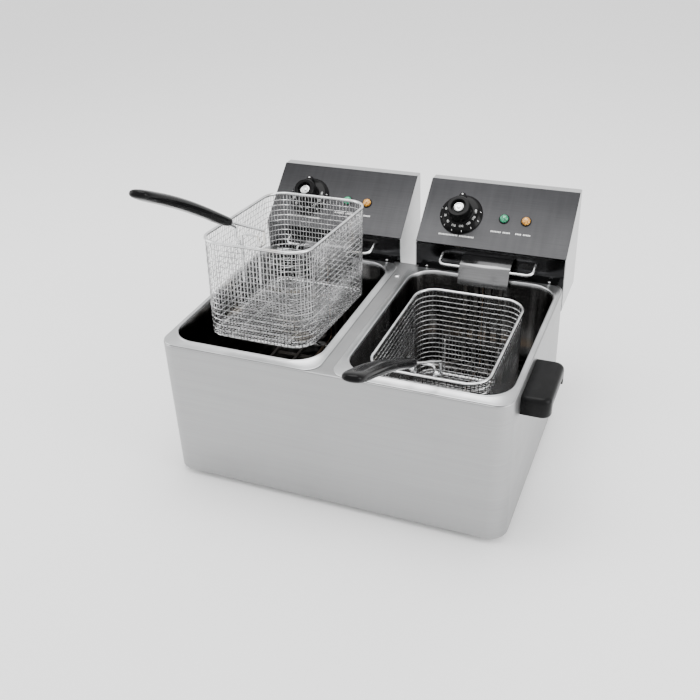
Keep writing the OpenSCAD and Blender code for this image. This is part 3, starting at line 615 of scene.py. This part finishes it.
def make_labels(side):
    """Rows of small plain blocks where a control plate carries its captions."""
    place = dial_place(side)
    pitch, wide, proud, ink = 2.6, 1.7, 0.01, 0.13
    words = [(-31, -40, 13), (5.4, -40, 10), (56.6, -24, 7), (77.4, -24, 5), (98.9, -24, 4), (111.9, -24, 5)]
    blocks = []
    for start, up, letters in words:
        for letter in range(letters):
            tall = 2.6 if letter % 3 else 2.9
            low = Vector((start + letter * pitch, up - tall / 2, proud)) * MM
            block = box_piece(f"letter_{len(blocks)}", low, low + Vector((wide, tall, ink)) * MM)
            blocks.append(softened(block, 0.05 * MM, 1))
    labels = placed(joined(f"panel_labels_{side}", blocks), place)
    settle(labels, f"head_{side}", "panel_steel", finish="printed_white", smooth=0)


def make_guard(side):
    """The polished plate over the element's tails, folded with a wide bend."""
    node = f"element_guard_{side}"
    low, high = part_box(node)
    plate = box_piece(f"tail_guard_{side}", low, high)
    edit("FACE")
    pick(plate, faces=lambda f: abs(f.normal.x) > 0.9 or f.normal.y > 0.9 or f.normal.z < -0.9)
    bpy.ops.mesh.delete(type="FACE")
    mesh = bmesh.from_edit_mesh(plate.data)
    for v in mesh.verts:
        if v.co.y > high.y - 1e-5:
            v.co.z = high.z
        elif v.co.z < low.z + 1e-5:
            v.co.y = low.y
        else:
            v.co.z = high.z - GUARD_SLOPE
            v.co.y = low.y + GUARD_FOOT
    bmesh.update_edit_mesh(plate.data)
    bpy.ops.mesh.select_mode(type="EDGE")
    pick(plate, edges=lambda e: len(e.link_faces) == 2)
    bpy.ops.mesh.bevel(offset=GUARD_BEND, segments=8, affect="EDGES")
    leave()
    modify(plate, "SOLIDIFY", thickness=SHEET, offset=-1)
    softened(plate, 0.25 * MM, 2, 50)
    settle(plate, f"head_{side}", "guard_steel", node, smooth=50)


def make_lens(side, colour):
    """A lens cut like a gem: rings of corners, some of them turned on by half a step."""
    node = f"{colour}_lens_{side}"
    low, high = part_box(node)
    place = dial_place(side)
    facets = 10
    rings = [(1.0, 0.0, False), (1.0, 1.6, False), (0.86, 3.6, True), (0.52, 5.2, False), (0.2, 5.8, True)]
    lens = turned(f"{colour}_gem_{side}", [(LENS_R * share, z * MM) for share, z, _ in rings], sides=facets)
    half_step = Matrix.Rotation(math.pi / facets, 4, "Z")
    for v in lens.data.vertices:
        if any(on and abs(v.co.z - z * MM) < 1e-5 for _, z, on in rings):
            v.co = half_step @ v.co
    modify(lens, "TRIANGULATE")
    local = place.inverted() @ ((low + high) / 2)
    placed(lens, place @ Matrix.Translation((local.x, local.y, 0.8 * MM)))
    settle(lens, f"head_{side}", f"{colour}_lens", node, smooth=0)


# ---- Dials -----------------------------------------------------------------------------------

def make_dial(side):
    """A skirted knob with a deep hollow, a pointer on its side and a cap in the hollow."""
    place = dial_place(side)
    profile = [(3.0, 1.0), (36.0, 1.0), (36.8, 1.5), (37.0, 2.1), (36.4, 2.8), (32.0, 8.0), (31.2, 8.5),
               (21.6, 9.6), (20.7, 10.4), (20.2, 12.0), (19.6, 30.4), (19.0, 32.0), (17.9, 33.0),
               (13.4, 33.0), (12.7, 32.6), (12.4, 31.8), (12.2, 26.6), (11.6, 26.0), (3.0, 26.0)]
    knob = turned(f"dial_{side}", [(r * MM, z * MM) for r, z in profile], sides=96, closed=False)
    root_h, narrowing, tip_drop = 30.5 * MM, 0.56, 1.5 * MM
    nose = box_piece("nose", (-8 * MM, 14 * MM, 8.2 * MM), (8 * MM, NOSE_R, NOSE_H))
    for v in nose.data.vertices:
        at_tip, on_top = v.co.y > NOSE_R - 1e-5, v.co.z > NOSE_H - 1e-5
        if at_tip:
            v.co.x *= narrowing
        if on_top:
            v.co.z = NOSE_H - tip_drop if at_tip else root_h
    softened(nose, 2.2 * MM, 4)
    knob = joined(f"dial_{side}", [knob, nose])
    placed(knob, place)
    settle(knob, f"dial_{side}", "gloss_black", f"dial_knob_{side}", smooth=28)
    make_dial_marks(side, place)
    cap = turned(f"dial_cap_{side}", [(r * MM, z * MM) for r, z in [
        (8.4, 26.05), (8.4, 28.2), (8.0, 28.8), (7.0, 29.0), (6.2, 28.6), (5.6, 27.8), (3.6, 27.8),
        (3.0, 28.6), (2.2, 28.9), (0.8, 29.0)]], sides=48)
    placed(cap, place)
    settle(cap, f"dial_{side}", "knob_chrome", f"knob_insert_{side}", smooth=30)


def degree_number(number):
    """One number of the dial, raised a hair from the XY plane."""
    bpy.ops.object.select_all(action="DESELECT")
    bpy.ops.object.text_add()
    text = only(bpy.context.active_object)
    text.data.body = str(number)
    text.data.align_x = "CENTER"
    text.data.align_y = "CENTER"
    text.data.size = 5.2 * MM
    text.data.extrude = 0.06 * MM
    bpy.ops.object.convert(target="MESH")
    return named(f"degree_{number}")


def make_dial_marks(side, place):
    """White degrees round the skirt, a tick below each, and the pointer's dot."""
    shoulder = Matrix.Rotation(math.radians(6), 4, "X")
    cone = Matrix.Rotation(math.atan2(6, 4.4), 4, "X")
    tick_half = Vector((0.5, 1.6, 0)) * MM
    marks = []
    numbers = range(50, 191, 20)
    for step, number in enumerate(numbers):
        angle = math.radians(170 + step * 200 / (len(numbers) - 1))
        lean = place @ Matrix.Rotation(angle + math.pi / 2, 4, "Z")
        on_shoulder = lean @ Matrix.Translation((0, -26.6 * MM, 9.25 * MM)) @ shoulder
        marks.append(placed(degree_number(number), on_shoulder))
        tick = box_piece(f"tick_{number}", -tick_half, tick_half + Vector((0, 0, 0.14 * MM)))
        softened(tick, 0.05 * MM, 1)
        on_cone = lean @ Matrix.Translation((0, -34.2 * MM, 5.5 * MM)) @ cone
        marks.append(placed(tick, on_cone))
    dot = turned("pointer_dot", [(1.5 * MM, 0), (1.5 * MM, 0.25 * MM), (1.1 * MM, 0.45 * MM)], sides=20)
    on_nose = Matrix.Translation((0, NOSE_R - 4.5 * MM, NOSE_H + 0.3 * MM)) @ Matrix.Rotation(-0.39, 4, "X")
    marks.append(placed(dot, place @ on_nose))
    degrees = joined(f"dial_degrees_{side}", marks)
    settle(degrees, f"dial_{side}", "gloss_black", finish="printed_white", smooth=0)


# ---- Side handle -----------------------------------------------------------------------------

def make_side_handle():
    """The hood to lift by: a rounded block, hollow below, with a slot for the fingertips."""
    low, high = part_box("side_handle")
    hood = box_piece("carry_hood", low, high)
    edit()

    def against_wall(item):
        return all(v.co.x < low.x + 1e-5 for v in item.verts)

    pick(hood, edges=lambda e: is_upright(e) and not against_wall(e))
    bpy.ops.mesh.bevel(offset=HOOD_CORNER, segments=8, affect="EDGES")
    pick(hood, edges=lambda e: at_height(high.z)(e) and not against_wall(e))
    bpy.ops.mesh.bevel(offset=HOOD_TOP, segments=6, affect="EDGES")
    bpy.ops.mesh.select_mode(type="FACE")
    pick(hood, faces=lambda f: at_height(low.z)(f) or against_wall(f))
    bpy.ops.mesh.delete(type="FACE")
    leave()
    modify(hood, "SOLIDIFY", thickness=HOOD_WALL, offset=-1, use_quality_normals=True)
    middle = (low.y + high.y) / 2
    slot_low = Vector((high.x - 6 * MM, middle - HOOD_SLOT / 2, low.z - 5 * MM))
    slot_high = Vector((high.x + 3 * MM, middle + HOOD_SLOT / 2, low.z + SLOT_RISE))
    notch = box_piece("slot", slot_low, slot_high)
    edit()
    pick(notch, edges=lambda e: at_height(slot_high.z)(e) and abs(e.verts[0].co.y - e.verts[1].co.y) < 1e-6)
    bpy.ops.mesh.bevel(offset=5 * MM, segments=6, affect="EDGES")
    leave()
    cut(hood, notch)
    softened(hood, 0.7 * MM, 2, 50)
    settle(hood, "casing", "black_plastic", "side_handle", smooth=40)


# ---- Baskets ---------------------------------------------------------------------------------

def basket_place(side):
    """The matrix of a basket: its origin is the middle of its rim."""
    turn = Matrix.Rotation(HANG_TILT if side == "left" else 0, 4, "X")
    origin = Vector(JOINTS[f"handle_fold_{side}"]["pos_m"]) - turn.to_3x3() @ PIVOT
    return Matrix.Translation(origin) @ turn


def round_the_wall(length):
    """Where a point that far along the basket's wall lies, and which way is out."""
    straight_x = BASKET_W - 2 * BASKET_CORNER
    straight_y = BASKET_L - 2 * BASKET_CORNER
    bend = math.pi / 2 * BASKET_CORNER
    corner = Vector((straight_x / 2, -straight_y / 2))
    for quarter, straight in enumerate((straight_y, straight_x, straight_y, straight_x)):
        turn = Matrix.Rotation(quarter * math.pi / 2, 2)
        if length <= straight:
            out = turn @ Vector((1, 0))
            return corner + out * BASKET_CORNER + turn @ Vector((0, length)), out
        length -= straight
        corner = corner + turn @ Vector((0, straight))
        if length <= bend:
            out = turn @ Vector((math.cos(length / BASKET_CORNER), math.sin(length / BASKET_CORNER)))
            return corner + out * BASKET_CORNER, out
        length -= bend
    return round_the_wall(0)


def wires_along(name, columns, rows, keep, lay):
    """Woven wires that run one way: a grid is laid in place, its cross edges are deleted, and
    the rest becomes wire. keep is 0 where the column changes along a wire, 1 where the row does."""
    bpy.ops.object.select_all(action="DESELECT")
    bpy.ops.mesh.primitive_grid_add(x_subdivisions=columns, y_subdivisions=rows, size=2)
    grid = named(name)
    index = {}
    for v in grid.data.vertices:
        i = round((v.co.x + 1) / 2 * columns)
        j = round((v.co.y + 1) / 2 * rows)
        index[v.index] = (i, j)
    for v in grid.data.vertices:
        v.co = lay(*index[v.index])
    edit()
    bpy.ops.mesh.select_all(action="DESELECT")
    mesh = bmesh.from_edit_mesh(grid.data)
    for edge in mesh.edges:
        first, second = (index[v.index] for v in edge.verts)
        if first[keep] == second[keep]:
            edge.select_set(True)
    bmesh.update_edit_mesh(grid.data)
    bpy.ops.mesh.delete(type="EDGE_FACE")
    leave()
    bpy.ops.object.convert(target="CURVE")
    grid = bpy.context.active_object
    grid.data.bevel_depth = CLOTH_WIRE / 2
    grid.data.bevel_resolution = 0
    grid.data.use_fill_caps = True
    bpy.ops.object.convert(target="MESH")
    return named(name)


def make_cloth(side):
    """The basket's woven walls and floor."""
    crimp = CLOTH_WIRE * 0.42
    wall = 2 * (BASKET_W + BASKET_L) - 8 * BASKET_CORNER + 2 * math.pi * BASKET_CORNER
    columns, rows = 140, 17
    step_up = (CLOTH_TOP - BASKET_FLOOR) / rows

    def wall_point(i, j, way):
        at, out = round_the_wall(wall * (i % columns) / columns)
        at = at + out * (crimp if (i + j) % 2 else -crimp) * way
        taper = 1 - 0.012 * (rows - j) / rows
        return Vector((at.x * taper, at.y * taper, BASKET_FLOOR + step_up * j))

    uprights = wires_along("uprights", columns, rows, 1, lambda i, j: wall_point(i, j, 1))
    hoops = wires_along("hoops", columns, rows, 0, lambda i, j: wall_point(i, j, -1))
    across, along = 30, 44
    floor_w, floor_l = BASKET_W * FLOOR_SHARE, BASKET_L * FLOOR_SHARE

    def floor_point(i, j, way):
        x = floor_w * (i / across - 0.5)
        y = floor_l * (j / along - 0.5)
        over_x = max(abs(x) - (floor_w / 2 - BASKET_CORNER), 0)
        over_y = max(abs(y) - (floor_l / 2 - BASKET_CORNER), 0)
        reach = math.hypot(over_x, over_y)
        if reach > BASKET_CORNER:
            pull = 1 - BASKET_CORNER / reach
            x -= math.copysign(over_x * pull, x)
            y -= math.copysign(over_y * pull, y)
        return Vector((x, y, BASKET_FLOOR + (crimp if (i + j) % 2 else -crimp) * way))

    floor_a = wires_along("floor_across", across, along, 1, lambda i, j: floor_point(i, j, 1))
    floor_b = wires_along("floor_along", across, along, 0, lambda i, j: floor_point(i, j, -1))
    cloth = joined(f"basket_cloth_{side}", [uprights, hoops, floor_a, floor_b])
    placed(cloth, basket_place(side))
    settle(cloth, f"basket_{side}", "woven_wire", f"basket_mesh_{side}", smooth=60)


def make_grip(side):
    """The long black grip: rings from the prongs to the rounded tip, then smoothed. Each ring
    has its place, its width and thickness as shares, and its lift in millimetres."""
    rings = [(0.000, 0.66, 0.80, 0.0), (0.002, 0.80, 0.94, 0.0), (0.012, 0.84, 1.00, 0.3),
             (0.040, 0.86, 1.06, 1.4), (0.080, 0.92, 1.12, 3.0), (0.120, 0.98, 1.14, 3.7),
             (0.160, 1.05, 1.12, 2.8), (0.190, 1.07, 1.06, 1.2), (0.210, 1.06, 0.98, 0.2),
             (0.220, 0.98, 0.86, -0.3), (0.2255, 0.76, 0.66, -0.6), (0.228, 0.36, 0.34, -0.8)]
    half_w, half_t, squareness = 13.6 * MM, 7.0 * MM, 2.6
    grip = turned(f"basket_grip_{side}", [(half_w, z) for z, _, _, _ in rings], sides=24)
    size = {round(z, 5): (w, t, lift) for z, w, t, lift in rings}
    for v in grip.data.vertices:
        w, t, lift = size[round(v.co.z, 5)]
        angle = math.atan2(v.co.y, v.co.x)
        cos_part, sin_part = abs(math.cos(angle)) ** squareness, abs(math.sin(angle)) ** squareness
        square = (cos_part + sin_part) ** (-1 / squareness)
        v.co.x = math.cos(angle) * half_w * w * square
        v.co.y = math.sin(angle) * half_t * t * square + lift * MM
    only(grip)
    edit("FACE")
    pick(grip, faces=lambda f: f.normal.y < -0.55 and 0.03 < f.calc_center_median().z < 0.19)
    bpy.ops.mesh.inset(thickness=1.0 * MM, depth=-0.5 * MM)
    leave()
    modify(grip, "SUBSURF", levels=1, render_levels=1)
    local = Matrix.Translation(GRIP_NEAR) @ Matrix.Rotation(math.pi / 2 - GRIP_SLOPE, 4, "X")
    placed(grip, basket_place(side) @ local)
    settle(grip, f"handle_{side}", "gloss_black", f"handle_grip_{side}", smooth=60)


# ---- Everything ------------------------------------------------------------------------------

def dress_cad_nodes():
    """Every carried-over CAD node takes the finish of its slot, with smooth round faces."""
    slots = {part["node"]: part["material_slot"] for part in frame["record"]["subparts"]}
    for name, obj in frame["nodes"].items():
        obj.data.materials.clear()
        obj.data.materials.append(FINISHES[slots[name]])
        only(obj)
        bpy.ops.object.shade_smooth_by_angle(angle=math.radians(30))


def make_light(name, place, aim, size, power, shade=(1, 1, 1)):
    lamp = bpy.data.lights.new(name, "AREA")
    lamp.shape = "RECTANGLE"
    lamp.size, lamp.size_y = size
    lamp.energy = power
    lamp.color = shade
    obj = bpy.data.objects.new(name, lamp)
    bpy.context.scene.collection.objects.link(obj)
    obj.location = place
    obj.rotation_euler = (Vector(aim) - Vector(place)).to_track_quat("-Z", "Y").to_euler()


def make_stage():
    """A pale paper floor, soft light from all round and three large lamps."""
    bpy.ops.object.select_all(action="DESELECT")
    bpy.ops.mesh.primitive_plane_add(size=30, location=(0, 0, -0.0005))
    ground = named("studio_floor")
    paper = Finish("studio_paper")
    mottle = paper.noise(3.0, detail=2)
    paper.set(Base_Color=paper.mix(mottle, (0.93, 0.93, 0.93), (0.95, 0.95, 0.95)), Roughness=0.9)
    ground.data.materials.append(paper.material)
    world = bpy.data.worlds.new("studio")
    bpy.context.scene.world = world
    world.use_nodes = True
    world.node_tree.nodes["Background"].inputs["Color"].default_value = (1, 1, 1, 1)
    world.node_tree.nodes["Background"].inputs["Strength"].default_value = 1.5
    make_light("overhead", (-0.2, 0.3, 2.2), (0, 0.1, 0.2), (1.6, 1.2), 34)
    make_light("left_wall", (-2.2, -0.6, 1.2), (0, 0, 0.2), (1.4, 1.8), 26)
    make_light("right_wall", (2.0, -0.2, 1.0), (0.2, 0, 0.15), (1.2, 1.6), 30)


def make_camera():
    """The view of someone who stands in front and a little to the right."""
    low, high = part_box("outer_casing")
    middle = Vector(((low.x + high.x) / 2, (low.y + high.y) / 2, 0))
    azimuth, elevation, roll = math.radians(23.293), math.radians(31.339), math.radians(-2.629)
    back = Vector((math.sin(azimuth) * math.cos(elevation), -math.cos(azimuth) * math.cos(elevation),
                   math.sin(elevation)))
    right = (-back).cross(Vector((0, 0, 1))).normalized()
    up = right.cross(-back)
    turned_right = right * math.cos(roll) + up * math.sin(roll)
    turned_up = up * math.cos(roll) - right * math.sin(roll)
    camera = bpy.data.objects.new("camera", bpy.data.cameras.new("camera"))
    camera.data.lens = 47
    camera.data.sensor_width = 36
    camera.data.clip_end = 60
    place = Matrix((turned_right, turned_up, back)).transposed().to_4x4()
    place.translation = middle + Vector((472.67, -1180.4, 952.35)) * MM
    camera.matrix_world = place
    bpy.context.scene.collection.objects.link(camera)
    bpy.context.scene.camera = camera


make_camera()
make_stage()
dress_cad_nodes()
make_casing()
make_side_handle()
for side in SIDES:
    make_tank(side)
    make_head_shell(side)
    make_labels(side)
    make_guard(side)
    make_lens(side, "green")
    make_lens(side, "amber")
    make_dial(side)
    make_cloth(side)
    make_grip(side)
